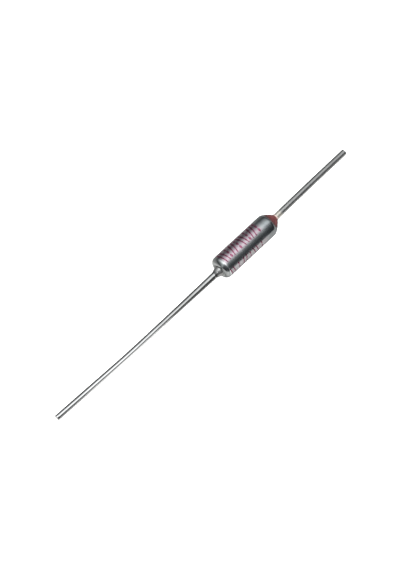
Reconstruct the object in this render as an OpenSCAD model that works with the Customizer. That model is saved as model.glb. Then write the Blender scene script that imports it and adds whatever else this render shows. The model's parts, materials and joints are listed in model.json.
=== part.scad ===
// Thermal fuse with axial leads, pellet type.
// Its axis lies along X: the long lead riveted to the can leaves on -X, the insulated lead on +X.
// The origin is on the axis, halfway along the straight can.

/* [Can] */
// Outside diameter of the can
case_d = 4.0; // [3.6:0.1:6]
// Length of the can, from its closed end to where its edge starts to roll in
case_len = 11.0; // [9:0.25:16]
// Thickness of the side wall
wall_t = 0.28; // [0.24:0.02:0.36]
// Thickness of the closed end
end_t = 0.35; // [0.25:0.05:0.6]
// Outside corner radius of the closed end
end_fillet = 0.85; // [0.6:0.05:1]
// Inside corner radius of the closed end
floor_fillet = 0.5; // [0.3:0.05:0.5]
// Thickness of the wall where it is bored out for the bushing
rim_t = 0.18; // [0.12:0.02:0.2]
// Outside radius of the rolled edge
roll_r = 0.75; // [0.6:0.05:0.9]
// How far round the edge is rolled
roll_angle = 60; // [50:5:75]

/* [Leads] */
// Diameter of both lead wires
lead_d = 1.0; // [0.8:0.05:1.2]
// Length of the long lead, from the closed end of the can
case_lead_len = 35.3; // [15:0.1:45]
// Length of the insulated lead, from the tip of the epoxy
isolated_lead_len = 16.75; // [10:0.05:40]
// Corner radius of the cropped wire ends
tip_round = 0.12; // [0.05:0.01:0.2]
// Diameter of the collar swaged on the long lead
collar_d = 1.8; // [1.5:0.02:2.2]
// Length over which the collar runs out into the wire
collar_len = 1.15; // [0.8:0.05:2]
// Diameter of the rivet head inside the can
rivet_d = 2.0; // [1.7:0.1:2.4]
// Thickness of the rivet head
rivet_t = 0.3; // [0.25:0.05:0.4]
// How far the flange on the insulated lead stands out from the wire
flange_w = 0.3; // [0.2:0.02:0.34]
// Thickness of that flange
flange_t = 0.25; // [0.2:0.05:0.35]
// How far the insulated lead swells out towards its flange, from being upset
upset_w = 0.03; // [0.02:0.01:0.05]
// Height of the lead's contact tip above its flange
contact_reach = 1.35; // [1.1:0.05:1.8]

/* [Inside] */
// Length of the thermal pellet
pellet_len = 3.0; // [2:0.1:3.6]
// Bevel on the pellet's edges
pellet_bevel = 0.2; // [0.1:0.05:0.4]
// Thickness of the two discs
disc_t = 0.25; // [0.15:0.05:0.4]
// Wire of the compression spring
spring_wire = 0.42; // [0.3:0.02:0.5]
// Pitch of the compression spring
spring_pitch = 0.9; // [0.7:0.05:1.2]
// Wire of the trip spring
trip_wire = 0.2; // [0.16:0.02:0.24]
// Pitch of the trip spring
trip_pitch = 0.38; // [0.32:0.02:0.6]
// Sheet thickness of the star contact
star_t = 0.12; // [0.08:0.01:0.16]
// Number of fingers on the star contact
star_fingers = 10; // [6:1:12]
// Width of the slots between its fingers
star_slot = 0.3; // [0.2:0.02:0.36]
// Inside radius of the bend in its fingers
finger_bend = 0.32; // [0.2:0.02:0.4]
// Straight length of its fingers past the bend
finger_len = 0.45; // [0.2:0.05:0.6]
// How far its fingers lean out
finger_lean = 11; // [6:1:16]

/* [Bushing and seal] */
// Length of the ceramic bushing
bushing_len = 2.3; // [1.8:0.1:3]
// Wall left around the recess that holds the trip spring
recess_wall = 0.38; // [0.3:0.02:0.5]
// Depth of that recess
recess_depth = 0.35; // [0.2:0.05:0.5]
// How far round the rolled edge the epoxy starts
epoxy_start = 42; // [30:1:44]
// Slope of the epoxy where it leaves the can
epoxy_slope_can = 27; // [24:1:36]
// Slope of the epoxy before it reaches the lead
epoxy_slope_lead = 49; // [42:1:60]
// Radius of the hollow blend onto the lead
epoxy_blend = 0.35; // [0.2:0.05:0.6]
// Thickness of the epoxy at its edges
epoxy_edge = 0.03; // [0.02:0.01:0.05]

/* [Fits] */
// Room between curved faces that touch on the real fuse
skin = 0.02; // [0.02:0.005:0.03]
// Radial room for what slides in the can
slide = 0.05; // [0.03:0.01:0.08]

/* [Hidden] */

$fn = 64;
arc_steps = 8;      // straight steps in each rounded corner
flank_steps = 16;   // steps along the swelling collar and the epoxy's flank
coil_steps = 20;    // steps in each turn of a spring
coil_sides = 8;     // sides of a spring's wire

// Radii
case_r = case_d / 2;
bore_r = case_r - wall_t;
seat_r = case_r - rim_t;
lead_r = lead_d / 2;
root_r = lead_r + upset_w;
hole_r = lead_r + skin;
bushing_hole_r = root_r + skin;
slide_r = bore_r - slide;
bushing_r = seat_r - skin;
recess_r = bushing_r - recess_wall;
flange_r = lead_r + flange_w;

// The rolled edge turns about a circle with its centre at this radius
roll_c = case_r - roll_r;
roll_in = roll_r - rim_t;
bushing_corner = roll_in - skin;

// Places along the axis, from the closed end to the bushing
x_end = -case_len / 2;
x_floor = x_end + end_t;
x_pellet = x_floor + rivet_t;
x_pellet_disc = x_pellet + pellet_len;
x_roll = case_len / 2;
x_step = x_roll + bushing_corner - bushing_len;
x_recess = x_step + recess_depth;
x_flange = x_recess - flange_t;
x_contact = x_flange - contact_reach;
x_star = x_contact - star_t;
x_contact_disc = x_star - disc_t;

// The epoxy's flank is one arc, from its edge on the can to the blend onto the lead
edge_r = roll_c + (roll_r + skin + epoxy_edge) * cos(epoxy_start);
edge_x = x_roll + (roll_r + skin + epoxy_edge) * sin(epoxy_start);
tip_r = lead_r + skin + epoxy_edge;
foot_r = tip_r + epoxy_blend * (1 - cos(epoxy_slope_lead));
flank_r = (edge_r - foot_r) / (cos(epoxy_slope_can) - cos(epoxy_slope_lead));
foot_x = edge_x + flank_r * (sin(epoxy_slope_lead) - sin(epoxy_slope_can));
x_epoxy = foot_x + epoxy_blend * sin(epoxy_slope_lead);

// Free ends of the leads
x_case_tip = x_end - case_lead_len;
x_isolated_tip = x_epoxy + isolated_lead_len;

// The star contact's fingers bend about a circle at this radius
bend_c = bore_r - skin - finger_len * sin(finger_lean) - (finger_bend + star_t) * cos(finger_lean);

// Points of a half section are [radius, place along the axis]
function arc(c, r, a, b, steps = arc_steps) =
    [for (i = [0 : steps]) let (t = a + (b - a) * i / steps) c + r * [cos(t), sin(t)]];

module lathe(points) {
    rotate([0, 90, 0]) rotate_extrude() polygon(points);
}

// A round plate with its near face at x
module disc(x, r, t) {
    translate([x, 0, 0]) rotate([0, 90, 0]) cylinder(r = r, h = t);
}

// Height of a spring's wire after u turns: a closed, ground turn at each end and an even pitch between
function coil_rise(u, turns, len, wire, pitch) =
    u < 1 ? wire * pow(u, pitch / wire)
    : u > turns - 1 ? len - wire * pow(max(turns - u, 0), pitch / wire)
    : wire + pitch * (u - 1);

// A coil spring from the plane at x0 to the plane at x1, its mean radius going from r0 to r1
module coil(x0, x1, r0, r1, wire, pitch) {
    len = x1 - x0;
    turns = 2 + (len - 2 * wire) / pitch;
    rings = ceil(turns * coil_steps);
    points = [
        for (i = [0 : rings])
            let (u = turns * i / rings)
            let (rise = coil_rise(u, turns, len, wire, pitch))
            let (mean_r = r0 + (r1 - r0) * rise / len)
            for (k = [0 : coil_sides - 1])
                let (t = 360 * (k + 0.5) / coil_sides)
                let (r = mean_r + wire / 2 * cos(t))
                [x0 + min(max(rise + wire / 2 * sin(t), 0), len), r * cos(360 * u), r * sin(360 * u)]
    ];
    sides = [
        for (i = [0 : rings - 1], k = [0 : coil_sides - 1])
            let (a = i * coil_sides + k)
            let (b = i * coil_sides + (k + 1) % coil_sides)
            each [[a, b, a + coil_sides], [b, b + coil_sides, a + coil_sides]]
    ];
    // Each end is a fan from a corner of the wire that grinding leaves off the end plane
    near_end = [for (k = [1 : coil_sides - 2]) [0, k + 1, k]];
    far = rings * coil_sides;
    half = coil_sides / 2;
    far_end = [
        for (k = [1 : coil_sides - 2])
            [far + half, far + (half + k) % coil_sides, far + (half + k + 1) % coil_sides]
    ];
    polyhedron(points, concat(sides, near_end, far_end));
}

module case_lead() {
    swell = [for (i = [0 : flank_steps])
        let (u = i / flank_steps)
        [lead_r + (collar_d / 2 - lead_r) * sin(90 * u), x_end - collar_len * (1 - u)]];
    color("silver") lathe(concat(
        [[0, x_case_tip]],
        arc([lead_r - tip_round, x_case_tip + tip_round], tip_round, -90, 0),
        swell,
        [[lead_r, x_end], [lead_r, x_floor], [rivet_d / 2, x_floor]],
        arc([rivet_d / 2 - tip_round, x_pellet - tip_round], tip_round, 0, 90),
        [[0, x_pellet]]
    ));
}

module case() {
    color("lightgray") lathe(concat(
        [[hole_r, x_end]],
        arc([case_r - end_fillet, x_end + end_fillet], end_fillet, -90, 0),
        arc([roll_c, x_roll], roll_r, 0, roll_angle),
        arc([roll_c, x_roll], roll_in, roll_angle, 0),
        [[seat_r, x_step], [bore_r, x_step]],
        arc([bore_r - floor_fillet, x_floor + floor_fillet], floor_fillet, 0, -90),
        [[hole_r, x_floor]]
    ));
}

module thermal_pellet() {
    color("ivory") lathe([
        [0, x_pellet],
        [slide_r - pellet_bevel, x_pellet],
        [slide_r, x_pellet + pellet_bevel],
        [slide_r, x_pellet_disc - pellet_bevel],
        [slide_r - pellet_bevel, x_pellet_disc],
        [0, x_pellet_disc]
    ]);
}

module pellet_disc() {
    color("goldenrod") disc(x_pellet_disc, slide_r, disc_t);
}

module compression_spring() {
    spring_r = slide_r - spring_wire / 2 - slide;
    color("slategray") coil(x_pellet_disc + disc_t, x_contact_disc, spring_r, spring_r, spring_wire, spring_pitch);
}

module contact_disc() {
    color("goldenrod") disc(x_contact_disc, slide_r, disc_t);
}

// A dished disc whose rim is slit into fingers that drag along the can's wall
module star_contact() {
    bend = [bend_c, x_contact + finger_bend];
    past = finger_len * [sin(finger_lean), cos(finger_lean)];
    outer = arc(bend, finger_bend + star_t, -90, -finger_lean);
    inner = arc(bend, finger_bend, -finger_lean, -90);
    color("gainsboro") difference() {
        lathe(concat(
            [[0, x_star]],
            outer,
            [outer[arc_steps] + past, inner[0] + past],
            inner,
            [[0, x_contact]]
        ));
        for (i = [0 : star_fingers - 1])
            rotate([360 * i / star_fingers, 0, 0])
                translate([x_star - star_t, -star_slot / 2, bend_c - star_slot])
                    cube([finger_bend + finger_len + 3 * star_t, star_slot, case_r]);
    }
}

module trip_spring() {
    wide_r = recess_r - slide - trip_wire / 2;
    narrow_r = flange_r + slide;
    color("slategray") coil(x_contact, x_recess, narrow_r, wide_r, trip_wire, trip_pitch);
}

module ceramic_bushing() {
    color("white") lathe(concat(
        [[bushing_hole_r, x_recess], [recess_r, x_recess], [recess_r, x_step], [bushing_r, x_step]],
        arc([roll_c, x_roll], bushing_corner, 0, 90),
        [[bushing_hole_r, x_roll + bushing_corner]]
    ));
}

module isolated_lead() {
    color("silver") lathe(concat(
        [[0, x_contact]],
        arc([lead_r - tip_round, x_contact + tip_round], tip_round, -90, 0),
        [[lead_r, x_flange], [flange_r, x_flange], [flange_r, x_recess], [root_r, x_recess]],
        [[lead_r, x_epoxy]],
        arc([lead_r - tip_round, x_isolated_tip - tip_round], tip_round, 0, 90),
        [[0, x_isolated_tip]]
    ));
}

// Resin over the bushing and the rolled edge, drawn up the lead
module epoxy_seal() {
    roll = [roll_c, x_roll];
    past_rim = roll_angle + 3;
    flank_c = [edge_r - flank_r * cos(epoxy_slope_can), edge_x - flank_r * sin(epoxy_slope_can)];
    blend_c = [tip_r + epoxy_blend, x_epoxy];
    color("brown") lathe(concat(
        arc(roll, roll_r + skin, past_rim, epoxy_start),
        arc(flank_c, flank_r, epoxy_slope_can, epoxy_slope_lead, flank_steps),
        arc(blend_c, epoxy_blend, 180 + epoxy_slope_lead, 180),
        [[hole_r, x_epoxy], [bushing_hole_r, x_roll + roll_in]],
        arc(roll, roll_in, 90, past_rim)
    ));
}

case_lead();
case();
thermal_pellet();
pellet_disc();
compression_spring();
contact_disc();
star_contact();
trip_spring();
ceramic_bushing();
isolated_lead();
epoxy_seal();
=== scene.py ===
import json
import math
import bmesh
import bpy
from mathutils import Matrix, Vector


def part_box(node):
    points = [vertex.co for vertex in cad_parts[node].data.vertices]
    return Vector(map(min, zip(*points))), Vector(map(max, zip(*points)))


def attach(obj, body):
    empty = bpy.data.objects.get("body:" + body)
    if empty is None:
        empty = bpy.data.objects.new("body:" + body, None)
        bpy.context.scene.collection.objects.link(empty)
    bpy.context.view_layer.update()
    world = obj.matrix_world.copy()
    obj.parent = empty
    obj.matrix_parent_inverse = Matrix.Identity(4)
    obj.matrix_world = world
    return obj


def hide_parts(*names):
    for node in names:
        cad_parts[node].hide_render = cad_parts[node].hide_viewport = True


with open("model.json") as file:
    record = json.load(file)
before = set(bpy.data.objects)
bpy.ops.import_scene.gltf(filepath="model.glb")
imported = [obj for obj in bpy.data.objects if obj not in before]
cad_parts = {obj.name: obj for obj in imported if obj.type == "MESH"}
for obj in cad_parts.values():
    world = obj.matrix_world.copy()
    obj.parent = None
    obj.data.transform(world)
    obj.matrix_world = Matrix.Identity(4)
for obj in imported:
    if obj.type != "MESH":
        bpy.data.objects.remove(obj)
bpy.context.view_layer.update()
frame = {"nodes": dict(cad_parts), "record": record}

# A thermal fuse lying along X: long lead on -X, can in the middle, resin and short lead on +X.
# Lengths are in metres (mm turns millimetres into them), angles in degrees.
mm = 0.001
dims = {mount["name"]: mount["dims"] for mount in frame["record"]["mounts"]}
canRadius = dims["case_barrel"]["r_mm"] * mm
wireRadius = dims["case_lead"]["r_mm"] * mm
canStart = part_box("case")[0].x  # the closed end's flat face
rollStart = -canStart  # the origin is halfway from there to where the rolled edge starts
cornerRadius = 2 * rollStart - dims["case_barrel"]["length_mm"] * mm
sharpAngle = 32  # edges that bend more than this stay crisp
print("frame loaded:", len(frame["nodes"]), "nodes, can radius", canRadius, "wire radius", wireRadius)


# half sections are lists of (distance from the axis, place along it)
def arcPoints(centre, radius, start, end, steps):
    turns = [math.radians(start + (end - start) * i / steps) for i in range(steps + 1)]
    return [(centre[0] + radius * math.cos(t), centre[1] + radius * math.sin(t)) for t in turns]


def linePoints(start, end, steps):
    return [tuple(a + (b - a) * i / steps for a, b in zip(start, end)) for i in range(steps + 1)]


def meshPiece(name, bm, material):
    bmesh.ops.recalc_face_normals(bm, faces=bm.faces)
    for face in bm.faces:
        face.smooth = True
    mesh = bpy.data.meshes.new(name)
    bm.to_mesh(mesh)
    bm.free()
    mesh.set_sharp_from_angle(angle=math.radians(sharpAngle))
    mesh.materials.append(material)
    piece = bpy.data.objects.new(name, mesh)
    bpy.context.scene.collection.objects.link(piece)
    return piece


def turnedPiece(name, section, sides, material, closed=False, shape=None):
    # revolves a half section about X; shape(x, angle, r) may nudge a point to (x, y, z)
    bm = bmesh.new()
    rings = []
    for r, x in section:
        count = sides if r > 0 else 1  # a ring on the axis is one point
        ring = []
        for i in range(count):
            angle = 2 * math.pi * i / sides
            place = (x, r * math.sin(angle), r * math.cos(angle))
            ring.append(bm.verts.new(shape(x, angle, r) if shape else place))
        rings.append(ring)
    pairs = list(zip(rings, rings[1:]))
    if closed:
        pairs.append((rings[-1], rings[0]))
    for near, far in pairs:
        for i in range(sides):
            j = (i + 1) % sides
            corners = [near[i % len(near)], near[j % len(near)], far[j % len(far)], far[i % len(far)]]
            bm.faces.new(list(dict.fromkeys(corners)))
    return meshPiece(name, bm, material)


def newMaterial(name):
    material = bpy.data.materials.new(name)
    material.use_nodes = True
    tree = material.node_tree
    return material, tree, tree.nodes["Principled BSDF"]


def addNode(tree, kind, inputs=None, **settings):
    node = tree.nodes.new("ShaderNode" + kind)
    for key, value in settings.items():
        setattr(node, key, value)
    for key, value in (inputs or {}).items():
        if isinstance(value, bpy.types.NodeSocket):
            tree.links.new(value, node.inputs[key])
        else:
            node.inputs[key].default_value = value
    return node


def placeInMm(tree, stretch):
    # object coordinates in millimetres, squeezed by stretch
    coords = addNode(tree, "TexCoord")
    scale = [s / mm for s in stretch]
    return addNode(tree, "Mapping", {"Vector": coords.outputs["Object"], "Scale": scale}).outputs["Vector"]


def grainNoise(tree, stretch, scale, detail=4, rough=0.55):
    vector = placeInMm(tree, stretch)
    node = addNode(tree, "TexNoise", {"Vector": vector, "Scale": scale, "Detail": detail, "Roughness": rough})
    return node.outputs["Fac"]


def rampColour(tree, factor, stops):
    node = addNode(tree, "ValToRGB", {"Fac": factor})
    elements = node.color_ramp.elements
    for element, (place, colour) in ((elements[0], stops[0]), (elements[-1], stops[-1])):
        element.position = place
        element.color = (*colour, 1)
    for place, colour in stops[1:-1]:
        elements.new(place).color = (*colour, 1)
    return node.outputs["Color"]


def spread(tree, factor, low, high, fromLow=0.3, fromHigh=0.7):
    # low to high as factor goes from fromLow to fromHigh, by default about what a noise gives
    node = addNode(tree, "MapRange", {
        "Value": factor, "From Min": fromLow, "From Max": fromHigh, "To Min": low, "To Max": high})
    return node.outputs["Result"]


def combine(tree, operation, a, b):
    return addNode(tree, "Math", {0: a, 1: b}, operation=operation).outputs["Value"]


def blendOf(tree, a, b, share):
    # a and b added up, with the given share of b
    return combine(tree, "ADD", combine(tree, "MULTIPLY", a, 1 - share), combine(tree, "MULTIPLY", b, share))


def mixColour(tree, factor, a, b, blend="MIX"):
    node = addNode(tree, "Mix", data_type="RGBA", blend_type=blend)
    sockets = (node.inputs[0], node.inputs[6], node.inputs[7])  # the colour ones share their names
    for socket, value in zip(sockets, (factor, a, b)):
        if isinstance(value, bpy.types.NodeSocket):
            tree.links.new(value, socket)
        else:
            socket.default_value = value if isinstance(value, (int, float)) else (*value, 1)
    return node.outputs[2]


def alongFuse(tree, start, end):
    # 0 before start, 1 past end, with start and end places along the fuse in metres
    coords = addNode(tree, "TexCoord")
    split = addNode(tree, "SeparateXYZ", {"Vector": coords.outputs["Object"]})
    node = addNode(tree, "MapRange", {
        "Value": split.outputs["X"], "From Min": start, "From Max": end, "To Min": 0.0, "To Max": 1.0},
        interpolation_type="SMOOTHSTEP")
    return node.outputs["Result"]


def anglesFrom(tree, vector):
    # degrees round X from straight up, + towards -Y, and degrees out of the YZ plane, + towards +X
    split = addNode(tree, "SeparateXYZ", {"Vector": vector})
    side = combine(tree, "MULTIPLY", split.outputs["Y"], -1.0)
    around = combine(tree, "ARCTAN2", side, split.outputs["Z"])
    out = combine(tree, "ARCSINE", split.outputs["X"], 0.0)
    return combine(tree, "DEGREES", around, 0.0), combine(tree, "DEGREES", out, 0.0)


def bandColour(tree, angle, bands, tint=(1, 1, 1)):
    # bands are (degrees, brightness), in order
    low, high = bands[0][0], bands[-1][0]
    place = spread(tree, angle, 0, 1, low, high)
    return rampColour(tree, place, [((a - low) / (high - low), [b * c for c in tint]) for a, b in bands])


def addBump(tree, shader, height, strength, distance):
    node = addNode(tree, "Bump", {"Height": height, "Strength": strength, "Distance": distance})
    tree.links.new(node.outputs["Normal"], shader.inputs["Normal"])


# the can, drawn from one piece with its open edge rolled in over the bushing
can = {
    "wall": 0.28 * mm,
    "endWall": 0.35 * mm,
    "rimWall": 0.18 * mm,
    "rollRadius": 0.75 * mm,
    "rollAngle": 60,
    "floorFillet": 0.5 * mm,
    "endBulge": 0.05 * mm,  # the closed end is pushed out a little by the die
    "clearance": 0.02 * mm,
    "sides": 256,
    "lightMetal": (0.62, 0.635, 0.645),
    "darkMetal": (0.53, 0.56, 0.555),
    "rolledTone": (0.69, 0.705, 0.72),  # the metal is darker by the rolled end
    "rolledFade": (2.6 * mm, 0.6 * mm),  # it turns so between these, back from where the roll starts
    "roughness": (0.11, 0.21),
    "endPolish": 0.55,  # the share of its roughness that is left by the closed end
    "polishLength": 2.5 * mm,
    "waviness": 0.016 * mm,
    "grainHeight": 0.0015 * mm,
    "inkHaze": (0.98, 0.73, 0.83),  # the pink cast that the ink leaves on the metal round it
    "hazeRough": 0.05,  # which is that much rougher there too
    "jointShade": (0.36, 0.36, 0.36),  # painted shade: a dark ring where the collar meets the end face
    "jointShadeFrom": 0.05 * mm,  # it stays at its darkest this far past the collar
    "jointShadeWide": 0.2 * mm,
}


def canMetal():
    material, tree, shader = newMaterial("platedCan")
    shader.inputs["Metallic"].default_value = 1.0
    cloud = grainNoise(tree, (0.5, 1, 1), 0.9, detail=5)
    drawn = grainNoise(tree, (0.04, 1, 1), 14)  # faint lines along the can, from drawing
    tumble = grainNoise(tree, (1, 1, 1), 9, detail=8, rough=0.65)
    wave = grainNoise(tree, (0.7, 1, 1), 0.55, detail=2)
    colour = rampColour(tree, cloud, [(0.35, can["darkMetal"]), (0.62, can["lightMetal"])])
    rolled = alongFuse(tree, *(rollStart - back for back in can["rolledFade"]))
    colour = mixColour(tree, rolled, colour, can["rolledTone"], "MULTIPLY")
    # painted shade in the joint where the collar meets the end face
    colour = mixColour(tree, jointShadeArea(tree), colour, can["jointShade"], "MULTIPLY")
    haze = combine(tree, "MULTIPLY", inkArea(tree), spread(tree, tumble, 0.5, 1.0))
    hazed = mixColour(tree, haze, colour, can["inkHaze"], "MULTIPLY")
    tree.links.new(hazed, shader.inputs["Base Color"])
    tone = blendOf(tree, drawn, tumble, 0.5)
    patchy = blendOf(tree, cloud, tone, 0.4)
    polished = alongFuse(tree, canStart, canStart + can["polishLength"])
    polish = spread(tree, polished, can["endPolish"], 1, 0, 1)
    smooth = combine(tree, "MULTIPLY", spread(tree, patchy, *can["roughness"]), polish)
    dull = combine(tree, "MULTIPLY", haze, can["hazeRough"])
    tree.links.new(combine(tree, "ADD", smooth, dull), shader.inputs["Roughness"])
    fine = combine(tree, "MULTIPLY", tone, can["grainHeight"] / can["waviness"])
    addBump(tree, shader, combine(tree, "ADD", wave, fine), 1.0, can["waviness"])
    return material


def jointShadeArea(tree):
    # the painted shade's mask: 1 on the end face right beside the collar, 0 a little way out and along the
    # barrel
    coords = addNode(tree, "TexCoord")
    flat = addNode(tree, "VectorMath", {0: coords.outputs["Object"], 1: (0, 1, 1)}, operation="MULTIPLY")
    away = addNode(tree, "VectorMath", {0: flat.outputs["Vector"]}, operation="LENGTH").outputs["Value"]
    rim = longLead["collarRadius"] + can["jointShadeFrom"]
    beside = spread(tree, away, 1, 0, rim, rim + can["jointShadeWide"])
    onFace = combine(tree, "SUBTRACT", 1, alongFuse(tree, canStart, canStart + can["jointShadeWide"]))
    return combine(tree, "MULTIPLY", beside, onFace)


def inkArea(tree):
    # 1 where the two lines of ink are, faded out at their edges
    coords = addNode(tree, "TexCoord")
    around = anglesFrom(tree, coords.outputs["Object"])[0]
    bands = [(-180, 0)]
    out, into = ink["hazeFade"]
    for line in (ink["upper"], ink["lower"]):
        start, end, haze = line["from"], line["to"], line["haze"]
        bands += [(start - out, 0), (start + into, haze), (end - into, haze), (end + out, 0)]
    across = bandColour(tree, around, bands + [(180, 0)])
    begin = alongFuse(tree, *ink["hazeBegins"])
    finish = alongFuse(tree, *ink["hazeEnds"])
    return combine(tree, "MULTIPLY", across, combine(tree, "SUBTRACT", begin, finish))


def canSection():
    holeRadius = wireRadius + can["clearance"]
    bore = canRadius - can["wall"]
    seat = canRadius - can["rimWall"]
    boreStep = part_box("ceramic_bushing")[0].x
    floorX = canStart + can["endWall"]
    rollCentre = (canRadius - can["rollRadius"], rollStart)
    inside = can["rollRadius"] - can["rimWall"]
    corner = (canRadius - cornerRadius, canStart + cornerRadius)
    stretch = 1 + can["endBulge"] / cornerRadius  # so that the corner ends at the bulged face
    rounded = arcPoints(corner, cornerRadius, -90, 0, 16)
    rounded = [(r, corner[1] - (corner[1] - x) * stretch) for r, x in rounded]
    section = linePoints((holeRadius, rounded[0][1]), rounded[0], 3)[:-1] + rounded
    section += linePoints((canRadius, corner[1]), (canRadius, rollStart), 24)[1:-1]
    section += arcPoints(rollCentre, can["rollRadius"], 0, can["rollAngle"], 16)
    section += arcPoints(rollCentre, inside, can["rollAngle"], 0, 12)
    section += [(seat, boreStep), (bore, boreStep)]
    floorCorner = (bore - can["floorFillet"], floorX + can["floorFillet"])
    section += arcPoints(floorCorner, can["floorFillet"], 0, -90, 8)
    return section + [(holeRadius, floorX)]


def makeCan():
    piece = turnedPiece("can", canSection(), can["sides"], canMetal(), closed=True)
    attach(piece, "root")
    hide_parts("case")


# the long lead, swaged to the can
longLead = {
    "tipRound": 0.05 * mm,
    "cutAndHighlight": (0.94, 0.94, 0.93),  # the cut end is bright: its bare cut metal, and partly a painted highlight
    "cutDepth": 0.1 * mm,
    "collarRadius": 0.9 * mm,
    "collarLength": 0.97 * mm,
    "collarCurve": 1.45,  # 1 would be a straight cone, more is a rounder one
    "sides": 96,
    "drawnBy": 0.032 * mm,  # stretched this much thinner all round than its nominal radius
    "neck": 0.1 * mm,  # and thicker again towards the collar
    "neckLength": 9.9 * mm,
    "neckCurve": 1.2,  # 1 would thicken it evenly
    "aside": 0.113 * mm,  # it leaves the can this far off the axis
    "lean": 0.0005,  # how far it goes sideways for its length
    "kinkAt": 20.7 * mm,
    "kinkLean": -0.0285,  # and past the soft kink
    "kinkSoft": 0.85 * mm,
    "lightTin": (0.60, 0.60, 0.595),
    "darkTin": (0.50, 0.50, 0.495),
    "shadedToCan": (-20 * mm, -16 * mm),  # between these it is painted darker, as painted shade, to nearTone by the can
    "nearTone": (0.87, 0.87, 0.865),
    # a painted dark reflection: a darker stripe down its -Y side as far as the collar, round from straight
    # up, + towards -Y
    "shadeStripe": [(-180, 1), (14, 1), (30, 0.44), (60, 0.44), (78, 1), (180, 1)],
    "shadeStripeFrom": (-17.0 * mm, -15.9 * mm),
    "collarTone": (0.97, 0.97, 0.97),  # the swaged metal is a touch darker and rougher
    "collarRough": 0.06,
    "collarMetallic": 0.93,
    "collarFade": 0.3 * mm,
    "creaseShade": (0.35, 0.35, 0.35),  # and painted shade: darker in the crease where the collar starts
    "creaseWide": 0.3 * mm,
    "roughness": (0.08, 0.15),
    "grainHeight": 0.0015 * mm,
}


def wireShape(piece, start, way, runIn):
    # bends a turned wire sideways past start, and moves it aside over the length runIn before that
    soft, kink = piece["kinkSoft"], piece["kinkAt"]

    def ramp(x):
        # 0 before the kink, then as long as what lies past it, round a soft corner
        return soft * math.log1p(math.exp((x - kink) / soft))

    def shape(x, angle, r):
        past = (x - start) * way
        out = max(past, 0)
        eased = min(max(1 + past / runIn, 0), 1)
        bend = piece["lean"] * out + (piece["kinkLean"] - piece["lean"]) * (ramp(out) - ramp(0))
        shift = bend + piece["aside"] * eased * eased * (3 - 2 * eased)
        return x, r * math.sin(angle) - shift, r * math.cos(angle)
    return shape


def tinMetal(name, piece):
    # tinned wire, with its colour and roughness left for each lead to add to
    material, tree, shader = newMaterial(name)
    shader.inputs["Metallic"].default_value = 1.0
    cloud = grainNoise(tree, (0.25, 1, 1), 1.4, detail=5)
    drawn = grainNoise(tree, (0.03, 1, 1), 22)
    speck = grainNoise(tree, (1, 1, 1), 16, detail=6, rough=0.6)
    colour = rampColour(tree, cloud, [(0.35, piece["darkTin"]), (0.6, piece["lightTin"])])
    tone = blendOf(tree, drawn, speck, 0.4)
    rough = spread(tree, tone, *piece["roughness"])
    addBump(tree, shader, tone, 0.4, piece["grainHeight"])
    return material, tree, shader, colour, rough


def longLeadSection():
    low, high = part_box("case_lead")
    tip, headEnd = low.x, high.x
    headRadius = high.y
    floorX = canStart + can["endWall"]
    edgeRound = longLead["tipRound"]
    collarEnd = canStart - can["endBulge"]
    collarStart = collarEnd - longLead["collarLength"]
    thin = wireRadius - longLead["drawnBy"]
    section = [(0, tip)] + arcPoints((thin - edgeRound, tip + edgeRound), edgeRound, -90, 0, 8)
    for r, x in linePoints((thin, tip + edgeRound), (thin, collarStart), 80)[1:-1]:
        u = min(max(1 - (collarStart - x) / longLead["neckLength"], 0), 1)
        section.append((r + longLead["neck"] * u ** longLead["neckCurve"], x))
    neckRadius = thin + longLead["neck"]
    steps = 24
    for i in range(steps + 1):
        u = i / steps
        swell = 1 - (1 - u) ** longLead["collarCurve"]
        wide = neckRadius + (longLead["collarRadius"] - neckRadius) * swell
        section.append((wide, collarStart + longLead["collarLength"] * u))
    section += [(wireRadius, collarEnd), (wireRadius, floorX), (headRadius, floorX)]
    section += arcPoints((headRadius - edgeRound, headEnd - edgeRound), edgeRound, 0, 90, 8)
    return section + [(0, headEnd)]


def makeLongLead():
    material, tree, shader, colour, rough = tinMetal("brightTin", longLead)
    collarStart = canStart - can["endBulge"] - longLead["collarLength"]
    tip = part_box("case_lead")[0].x
    # painted shade: the wire is darker towards the can
    toned = mixColour(tree, alongFuse(tree, *longLead["shadedToCan"]), colour, longLead["nearTone"], "MULTIPLY")
    # the tip is painted brighter, partly its bare cut end and partly a painted highlight
    pastTipHighlight = alongFuse(tree, tip, tip + longLead["cutDepth"])
    toned = mixColour(tree, pastTipHighlight, longLead["cutAndHighlight"], toned)
    swaged = alongFuse(tree, collarStart - longLead["collarFade"], collarStart)
    # painted dark reflection down one side of the wire, set by which way its surface faces
    facing = anglesFrom(tree, addNode(tree, "TexCoord").outputs["Normal"])[0]
    shadeStripeMask = combine(tree, "SUBTRACT", alongFuse(tree, *longLead["shadeStripeFrom"]), swaged)
    toned = mixColour(tree, shadeStripeMask, toned, bandColour(tree, facing, longLead["shadeStripe"]), "MULTIPLY")
    toned = mixColour(tree, swaged, toned, longLead["collarTone"], "MULTIPLY")
    # painted shade in the crease at the collar's start
    creaseWide = longLead["creaseWide"]
    before = alongFuse(tree, collarStart - creaseWide, collarStart - creaseWide / 2)
    after = alongFuse(tree, collarStart, collarStart + creaseWide)
    creaseShading = combine(tree, "SUBTRACT", before, after)
    toned = mixColour(tree, creaseShading, toned, longLead["creaseShade"], "MULTIPLY")
    tree.links.new(toned, shader.inputs["Base Color"])
    rougher = combine(tree, "MULTIPLY", swaged, longLead["collarRough"])
    tree.links.new(combine(tree, "ADD", rough, rougher), shader.inputs["Roughness"])
    tree.links.new(spread(tree, swaged, 1, longLead["collarMetallic"], 0, 1), shader.inputs["Metallic"])
    shape = wireShape(longLead, canStart, -1, can["endWall"])
    piece = turnedPiece("longLead", longLeadSection(), longLead["sides"], material, shape=shape)
    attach(piece, "root")
    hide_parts("case_lead")


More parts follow.
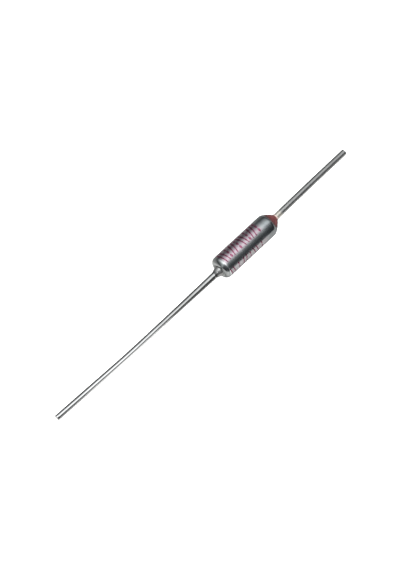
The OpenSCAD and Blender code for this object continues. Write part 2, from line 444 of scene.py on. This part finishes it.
# the short lead, insulated from the can
shortLead = {
    "tipRound": 0.12 * mm,
    "flangeThick": 0.25 * mm,
    "flangeWide": 0.3 * mm,
    "upset": 0.03 * mm,  # thicker than its nominal radius past the flange
    "sides": 96,
    "aside": 0,
    "lean": -0.024,
    "kinkAt": 9 * mm,
    "kinkLean": 0.0003,
    "kinkSoft": 4 * mm,
    "lightTin": (0.50, 0.50, 0.49),
    "darkTin": (0.40, 0.40, 0.395),
    "roughness": (0.29, 0.40),
    "grainHeight": 0.0015 * mm,
    "filmColour": (0.68, 0.65, 0.58),  # thin resin film that creeps up the wire
    "filmLength": 1.3 * mm,
    "filmSolid": 0.6,  # the share of that length before it starts to fade
    "filmRagged": 0.45,
    "filmMetallic": 0.88,
}


def shortLeadShape():
    # the wire and the resin round it lean together from the rolled edge on
    return wireShape(shortLead, rollStart + can["rollRadius"] - can["rimWall"], 1, mm)


def shortLeadSection():
    low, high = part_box("isolated_lead")
    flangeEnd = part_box("trip_spring")[1].x
    flangeStart = flangeEnd - shortLead["flangeThick"]
    flange = wireRadius + shortLead["flangeWide"]
    edgeRound = shortLead["tipRound"]
    section = [(0, low.x)] + arcPoints((wireRadius - edgeRound, low.x + edgeRound), edgeRound, -90, 0, 8)
    section += [(wireRadius, flangeStart), (flange, flangeStart), (flange, flangeEnd)]
    thick = wireRadius + shortLead["upset"]
    section += linePoints((thick, flangeEnd), (thick, high.x - edgeRound), 48)[:-1]
    section += arcPoints((thick - edgeRound, high.x - edgeRound), edgeRound, 0, 90, 8)
    return section + [(0, high.x)]


def makeShortLead():
    material, tree, shader, colour, rough = tinMetal("dullTin", shortLead)
    tree.links.new(rough, shader.inputs["Roughness"])
    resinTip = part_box("epoxy_seal")[1].x
    edge = combine(tree, "SUBTRACT", grainNoise(tree, (1, 1, 1), 3), 0.5)
    filmLength = shortLead["filmLength"]
    fade = alongFuse(tree, resinTip + shortLead["filmSolid"] * filmLength, resinTip + filmLength)
    ragged = combine(tree, "ADD", fade, combine(tree, "MULTIPLY", edge, shortLead["filmRagged"]))
    bare = addNode(tree, "Clamp", {"Value": ragged}).outputs["Result"]
    film = combine(tree, "SUBTRACT", 1.0, bare)
    tree.links.new(mixColour(tree, film, colour, shortLead["filmColour"]), shader.inputs["Base Color"])
    tree.links.new(spread(tree, film, 1.0, shortLead["filmMetallic"], 0, 1), shader.inputs["Metallic"])
    section = shortLeadSection()
    piece = turnedPiece("shortLead", section, shortLead["sides"], material, shape=shortLeadShape())
    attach(piece, "root")
    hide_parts("isolated_lead")


# the resin cone over the bushing
resin = {
    "startAngle": 42,  # how far round the rolled edge it starts
    "pastRoll": 3,  # how far past the roll's own end it stays clear of the metal
    "slopeAtCan": 27,  # its side's slope to the axis at each end
    "slopeAtLead": 49,
    "blend": 0.35 * mm,  # the hollow curve that runs out onto the wire
    "edge": 0.02 * mm,  # how thin it runs out at both ends
    "clearance": 0.02 * mm,
    "sides": 192,
    "light": (0.16, 0.045, 0.045),
    "dark": (0.09, 0.025, 0.026),
    "edgeThinAndShade": (0.060, 0.025, 0.026),  # thin dark resin over the rolled edge, and painted shade along the resin's edge by the can
    "edgeWide": 0.9 * mm,
    "edgeRagged": 0.8,
    "sideShadeTone": (0.26, 0.32, 0.32),  # painted shade: the resin is painted darker down two sides
    # where the painted side shade lies, and how far in mm the edge is worn down to the metal, both as
    # (degrees, amount) round from straight up, + towards -Y
    "runs": [(-180, 0.6), (-100, 1), (-62, 1), (-42, 0), (54, 0), (76, 1), (120, 1), (180, 0.6)],
    "bare": [(-180, 0), (42, 0), (62, 0.2), (85, 0.46), (125, 0.2), (180, 0)],
    "bareSoft": 0.03,
    "tipThin": (0.60, 0.48, 0.44),  # and thin pale resin at the tip
    "tipWide": 0.42 * mm,
    "tipShare": (0.85, 0.45),  # how much of it shows, and what is left of that under the painted side shade
    "waviness": 0.03 * mm,
    "roughness": (0.16, 0.3),
}


def resinSection():
    roll = (canRadius - can["rollRadius"], rollStart)
    inside = can["rollRadius"] - can["rimWall"]
    over = can["rollRadius"] + resin["clearance"] + resin["edge"]
    angles = (resin["startAngle"], resin["slopeAtCan"], resin["slopeAtLead"])
    startAngle, slopeA, slopeB = (math.radians(angle) for angle in angles)
    edge = (roll[0] + over * math.cos(startAngle), roll[1] + over * math.sin(startAngle))
    hole = wireRadius + shortLead["upset"] + resin["clearance"]
    tipRadius = hole + resin["edge"]
    footRadius = tipRadius + resin["blend"] * (1 - math.cos(slopeB))
    flank = (edge[0] - footRadius) / (math.cos(slopeA) - math.cos(slopeB))
    footX = edge[1] + flank * (math.sin(slopeB) - math.sin(slopeA))
    tipX = footX + resin["blend"] * math.sin(slopeB)
    flankCentre = (edge[0] - flank * math.cos(slopeA), edge[1] - flank * math.sin(slopeA))
    under = can["rollRadius"] + resin["clearance"]
    tipCentre = (tipRadius + resin["blend"], tipX)
    past = can["rollAngle"] + resin["pastRoll"]
    section = arcPoints(roll, under, past, resin["startAngle"], 8)
    section += arcPoints(flankCentre, flank, resin["slopeAtCan"], resin["slopeAtLead"], 28)
    section += arcPoints(tipCentre, resin["blend"], 180 + resin["slopeAtLead"], 180, 10)[1:]
    section += [(hole, tipX), (hole, rollStart + inside)]
    return section + arcPoints(roll, inside, 90, past, 8)


def resinMaterial():
    material, tree, shader = newMaterial("redResin")
    shader.inputs["IOR"].default_value = 1.5
    shader.inputs["Specular IOR Level"].default_value = 0.14
    cloud = grainNoise(tree, (1, 1, 1), 1.6, detail=6)
    fine = grainNoise(tree, (1, 1, 1), 12, detail=6)
    colour = rampColour(tree, cloud, [(0.32, resin["dark"]), (0.6, resin["light"])])
    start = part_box("epoxy_seal")[0].x
    # thin dark resin and painted shade along the resin's edge by the can
    ragged = combine(tree, "MULTIPLY", combine(tree, "SUBTRACT", cloud, 0.5), resin["edgeRagged"])
    clear = combine(tree, "ADD", alongFuse(tree, start, start + resin["edgeWide"]), ragged)
    body = addNode(tree, "Clamp", {"Value": clear}).outputs["Result"]
    colour = mixColour(tree, body, resin["edgeThinAndShade"], colour)
    coords = addNode(tree, "TexCoord")
    around = anglesFrom(tree, coords.outputs["Object"])[0]
    # painted shade darkening two sides of the resin
    sideShade = bandColour(tree, around, resin["runs"])
    colour = mixColour(tree, sideShade, colour, resin["sideShadeTone"], "MULTIPLY")
    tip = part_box("epoxy_seal")[1].x
    shown, shownOnSideShade = resin["tipShare"]
    thin = combine(tree, "MULTIPLY", alongFuse(tree, tip - resin["tipWide"], tip), shown)
    thin = combine(tree, "MULTIPLY", thin, spread(tree, sideShade, 1, shownOnSideShade, 0, 1))
    colour = mixColour(tree, thin, colour, resin["tipThin"])
    place = addNode(tree, "SeparateXYZ", {"Vector": coords.outputs["Object"]}).outputs["X"]
    past = combine(tree, "MULTIPLY", combine(tree, "SUBTRACT", place, start), 1 / mm)
    over = combine(tree, "SUBTRACT", past, bandColour(tree, around, resin["bare"]))
    bare = spread(tree, over, 1, 0, -resin["bareSoft"], resin["bareSoft"])
    tree.links.new(mixColour(tree, bare, colour, can["darkMetal"]), shader.inputs["Base Color"])
    tree.links.new(bare, shader.inputs["Metallic"])
    tree.links.new(spread(tree, fine, *resin["roughness"]), shader.inputs["Roughness"])
    height = combine(tree, "ADD", cloud, combine(tree, "MULTIPLY", fine, 0.08))
    addBump(tree, shader, height, 0.5, resin["waviness"])
    return material


def makeResin():
    section, shape = resinSection(), shortLeadShape()
    piece = turnedPiece("resinCone", section, resin["sides"], resinMaterial(), closed=True, shape=shape)
    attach(piece, "root")
    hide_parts("epoxy_seal")


# the ink marks round the can: rows of slanting wedges and pointed leaves that spell nothing
ink = {
    "proud": 0.008 * mm,
    "sunk": 0.004 * mm,
    "stroke": (0.36 * mm, 0.17 * mm),  # its width at the top and at the foot
    "barStep": 0.66 * mm,
    "lean": 0.45 * mm,
    "wobble": 0.15,  # a stroke's width wavers by this share
    "leafWide": 0.42 * mm,
    "leafGap": 0.06,  # the share of its room that is left clear at each tip
    "leafTip": 0.08,  # and the share of its width that it has there
    "startX": -4.5 * mm,
    # where the haze fades in and out along the can
    "hazeBegins": (-4.9 * mm, -4.3 * mm),
    "hazeEnds": (3.5 * mm, 4.2 * mm),
    "hazeFade": (8, 6),  # degrees out from and in from a line's own edge
    # degrees round from straight up, + towards -Y
    "upper": {"from": -59, "to": 10, "gap": 0.34 * mm, "haze": 1, "weight": 1,
              "marks": "rising leaves falling leaves rising leaves falling leaves"},
    "lower": {"from": 40, "to": 108, "gap": 0.74 * mm, "haze": 0.35, "weight": 0.62,
              "marks": "rising leaves falling leaves rising leaves"},
    "light": (0.44, 0.18, 0.27),
    "dark": (0.20, 0.045, 0.085),
    "roughness": (0.14, 0.24),
    "grainHeight": 0.004 * mm,
}


def inkPoint(x, across, lift):
    # across is the arc length round the can from straight up, towards -Y
    angle = across / canRadius
    r = canRadius + lift
    return x, -r * math.sin(angle), r * math.cos(angle)


def inkStroke(bm, x, low, high, lean, wide, steps):
    # a thin raised stroke across the can; wide gives its width at each height from 0 to 1
    sheets = []
    for lift in (ink["proud"], -ink["sunk"]):
        rows = []
        for side in (-0.5, 0.5):
            row = []
            for i in range(steps + 1):
                u = i / steps
                place = x + side * wide(u) + lean * (u - 0.5)
                row.append(bm.verts.new(inkPoint(place, low + (high - low) * u, lift)))
            rows.append(row)
        sheets.append(rows)
    top, bottom = sheets
    for i in range(steps):
        bm.faces.new((top[0][i], top[0][i + 1], top[1][i + 1], top[1][i]))
        bm.faces.new((bottom[0][i], bottom[0][i + 1], bottom[1][i + 1], bottom[1][i]))
        for k in (0, 1):
            bm.faces.new((top[k][i], top[k][i + 1], bottom[k][i + 1], bottom[k][i]))
    for i in (0, steps):
        bm.faces.new((top[0][i], top[1][i], bottom[1][i], bottom[0][i]))


def inkBars(bm, x, low, high, lean, weight):
    # two slanting wedges, with a slight wobble in their edges
    top, foot = (wide * weight for wide in ink["stroke"])
    for i in range(2):
        place = x + i * ink["barStep"] + top / 2
        worn = 3.1 * i + place / mm
        inkStroke(bm, place, low, high, lean,
                  lambda u: (top + (foot - top) * u) * (1 + ink["wobble"] * math.sin(23 * u + worn)), 24)
    return ink["barStep"] + top


def inkLeaves(bm, x, low, high, weight):
    # a column of three pointed leaves
    room = (high - low) / 3
    wide, tip, gap = ink["leafWide"] * weight, ink["leafTip"], ink["leafGap"] * room
    for i in range(3):
        start = low + i * room
        inkStroke(bm, x + wide / 2, start + gap, start + room - gap, 0,
                  lambda u: wide * (tip + (1 - tip) * math.sin(math.pi * u)), 14)
    return wide


def inkMaterial():
    material, tree, shader = newMaterial("magentaInk")
    shader.inputs["Metallic"].default_value = 1.0
    cloud = grainNoise(tree, (1, 1, 1), 3.5, detail=6)
    colour = rampColour(tree, cloud, [(0.35, ink["dark"]), (0.62, ink["light"])])
    tree.links.new(colour, shader.inputs["Base Color"])
    tree.links.new(spread(tree, cloud, *ink["roughness"]), shader.inputs["Roughness"])
    addBump(tree, shader, cloud, 0.4, ink["grainHeight"])
    return material


def makeInkLine(name, line, material):
    low, high = (math.radians(line[k]) * canRadius for k in ("from", "to"))
    bm = bmesh.new()
    x = ink["startX"]
    for mark in line["marks"].split():
        if mark == "leaves":
            x += inkLeaves(bm, x, low, high, line["weight"]) + line["gap"]
        else:
            lean = ink["lean"] if mark == "rising" else -ink["lean"]
            x += inkBars(bm, x, low, high, lean, line["weight"]) + line["gap"]
    piece = meshPiece(name, bm, material)
    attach(piece, "root")
    print(name, "runs to", round(x / mm, 2), "mm")


# what the can holds; both discs are stamped from the same brass
brass = {"light": (0.76, 0.60, 0.30), "dark": (0.60, 0.45, 0.20), "metallic": 1.0,
         "roughness": (0.25, 0.4), "grain": 6, "bump": 0.003}
inner = {
    "thermal_pellet": {"light": (0.84, 0.80, 0.66), "dark": (0.74, 0.69, 0.54), "metallic": 0.0,
                       "roughness": (0.55, 0.75), "grain": 7, "bump": 0.02},
    "pellet_disc": brass,
    "contact_disc": brass,
    "compression_spring": {"light": (0.52, 0.53, 0.55), "dark": (0.36, 0.37, 0.39), "metallic": 1.0,
                           "roughness": (0.22, 0.36), "grain": 9, "bump": 0.003},
    "trip_spring": {"light": (0.56, 0.57, 0.59), "dark": (0.40, 0.41, 0.43), "metallic": 1.0,
                    "roughness": (0.22, 0.36), "grain": 14, "bump": 0.002},
    "star_contact": {"light": (0.88, 0.87, 0.84), "dark": (0.70, 0.68, 0.64), "metallic": 1.0,
                     "roughness": (0.14, 0.26), "grain": 8, "bump": 0.002},
    "ceramic_bushing": {"light": (0.88, 0.86, 0.81), "dark": (0.78, 0.75, 0.69), "metallic": 0.0,
                        "roughness": (0.45, 0.65), "grain": 8, "bump": 0.012},
}


def finishInner(name, look):
    material, tree, shader = newMaterial(name + "Finish")
    shader.inputs["Metallic"].default_value = look["metallic"]
    cloud = grainNoise(tree, (1, 1, 1), 1.2, detail=5)
    grain = grainNoise(tree, (1, 1, 1), look["grain"], detail=8, rough=0.6)
    colour = rampColour(tree, cloud, [(0.36, look["dark"]), (0.62, look["light"])])
    tree.links.new(colour, shader.inputs["Base Color"])
    tree.links.new(spread(tree, grain, *look["roughness"]), shader.inputs["Roughness"])
    addBump(tree, shader, grain, 0.5, look["bump"] * mm)
    node = frame["nodes"][name]
    node.data.materials.clear()
    node.data.materials.append(material)


# the studio: a pale floor, one soft light, and the painted room that the metal mirrors
studio = {
    "floorSize": 4.0,
    "floorPale": (0.93, 0.93, 0.93),
    "floorShade": (0.89, 0.89, 0.89),
    "floorGlow": 0.45,
    "fillPower": 14.0,
    "fillSize": 0.45,
    "fillPlace": (-0.25, -0.1, 0.75),
    # the room, as (degrees, brightness) round the fuse from overhead, + towards -Y
    "room": [(-180, 0.46), (-168, 0.66), (-150, 0.64), (-138, 0.36), (-100, 0.20), (-86, 0.08),
             (-74, 0), (84, 0), (93, 0.58), (140, 0.56), (151, 0.42), (165, 0.25), (180, 0.40)],
    "roomTint": (1.0, 0.985, 0.96),
    "gloom": (0.040, 0.046, 0.050),  # and the least that comes from anywhere
    # a soft panel overhead, and a white card low on the -Y side
    "panel": [(-80, 0), (-60, 0.26), (-38, 0.66), (-18, 1.2), (-8, 1.3), (0, 1.02), (10, 0.44),
              (24, 0.13), (60, 0)],
    "panelTint": (0.97, 0.99, 1.0),
    "card": [(59, 0), (82, 1.5), (125, 1.5), (160, 0)],
    # how strong both are along the fuse, + towards +X, and how far the panel is turned round it
    "panelReach": [(-85, 0.32), (-50, 0.33), (-36, 0.42), (-24, 0.58), (-12, 1.2), (0, 1.45), (11, 2.0),
                   (16, 1.7), (19, 1.12), (21.5, 0.86), (35, 0.68), (60, 0.4), (90, 0.35)],
    "cardReach": [(-40, 0), (-33, 0.1), (-14, 0.1), (-6, 0), (10, 0), (12, 1), (15.4, 1), (16, 0)],
    "panelTurn": [(-60, 7), (-38, 2), (-20, -4), (-5, 0), (8, 0), (10.8, 16), (14.4, 17),
                  (15.4, 22), (16.2, 17), (17.0, 6), (18.4, -8), (20.9, -7), (22.3, 5), (26, 5), (32, 0)],
    "backdrop": (0.95, 0.95, 0.95),
}


def makeFloor():
    material, tree, shader = newMaterial("paleFloor")
    shader.inputs["Roughness"].default_value = 0.9
    shader.inputs["Specular IOR Level"].default_value = 0.0
    cloud = grainNoise(tree, (1, 1, 1), 0.02, detail=3)
    colour = rampColour(tree, cloud, [(0.3, studio["floorShade"]), (0.7, studio["floorPale"])])
    tree.links.new(colour, shader.inputs["Base Color"])
    tree.links.new(colour, shader.inputs["Emission Color"])
    shader.inputs["Emission Strength"].default_value = studio["floorGlow"]
    half = studio["floorSize"] / 2
    bm = bmesh.new()
    corners = ((-half, -half), (half, -half), (half, half), (-half, half))
    bm.faces.new([bm.verts.new((x, y, -canRadius)) for x, y in corners])
    floor = meshPiece("floor", bm, material)
    floor.visible_glossy = False  # the painted room below stands for it in the metal and resin
    floor.visible_diffuse = False


def makeFill():
    data = bpy.data.lights.new("softFill", "AREA")
    data.shape = "DISK"
    data.size = studio["fillSize"]
    data.energy = studio["fillPower"]
    fill = bpy.data.objects.new("softFill", data)
    fill.location = studio["fillPlace"]
    fill.rotation_euler = Vector(studio["fillPlace"]).to_track_quat("Z", "Y").to_euler()
    fill.visible_glossy = False
    bpy.context.scene.collection.objects.link(fill)


def makeRoom():
    world = bpy.data.worlds.new("softRoom")
    bpy.context.scene.world = world
    world.use_nodes = True
    tree = world.node_tree
    coords = addNode(tree, "TexCoord")
    around, along = anglesFrom(tree, coords.outputs["Generated"])
    # a ramp holds nothing below 0, so the turn is stored with 90 added
    turned = bandColour(tree, along, [(a, turn + 90) for a, turn in studio["panelTurn"]])
    panelRound = combine(tree, "SUBTRACT", combine(tree, "ADD", around, 90), turned)
    seen = bandColour(tree, around, studio["room"], studio["roomTint"])
    seen = mixColour(tree, 1.0, seen, studio["gloom"], "ADD")
    for angle, name, tint in ((panelRound, "panel", studio["panelTint"]), (around, "card", (1, 1, 1))):
        light = bandColour(tree, angle, studio[name], tint)
        light = mixColour(tree, 1.0, light, bandColour(tree, along, studio[name + "Reach"]), "MULTIPLY")
        seen = mixColour(tree, 1.0, seen, light, "ADD")
    direct = addNode(tree, "LightPath").outputs["Is Camera Ray"]
    shown = mixColour(tree, direct, seen, studio["backdrop"])
    tree.links.new(shown, tree.nodes["Background"].inputs["Color"])


# the camera
shot = {
    "lens": 100,
    "distance": 0.2507,
    "offSquare": 17.95,  # how far the view leans towards the long lead's side
    "lean": 9,  # and how far from straight above the fuse's axis, towards -Y
    "roll": 19.95,  # about its own line of sight
    "aim": (-9.5 * mm, 0.31 * mm, 0),
}


def makeCamera():
    offSquare, lean = math.radians(shot["offSquare"]), math.radians(shot["lean"])
    back = Vector((-math.sin(offSquare), -math.cos(offSquare) * math.sin(lean),
                   math.cos(offSquare) * math.cos(lean)))
    right = Vector((0, 0, 1)).cross(back).normalized()
    right.rotate(Matrix.Rotation(math.radians(shot["roll"]), 3, back))
    up = back.cross(right)
    data = bpy.data.cameras.new("camera")
    data.lens = shot["lens"]
    data.clip_start = 0.01
    data.clip_end = 10
    camera = bpy.data.objects.new("camera", data)
    camera.matrix_world = Matrix((right, up, back)).transposed().to_4x4()
    camera.location = Vector(shot["aim"]) + back * shot["distance"]
    bpy.context.scene.collection.objects.link(camera)
    bpy.context.scene.camera = camera


makeCan()
makeLongLead()
makeShortLead()
makeResin()
print("turned pieces made")
inkFinish = inkMaterial()
makeInkLine("inkUpper", ink["upper"], inkFinish)
makeInkLine("inkLower", ink["lower"], inkFinish)
print("ink marks made")
for nodeName, look in inner.items():
    finishInner(nodeName, look)
print("inner pieces finished")
makeFloor()
makeFill()
makeRoom()
makeCamera()
bpy.context.scene.view_settings.view_transform = "Standard"
print("floor, light and camera set")
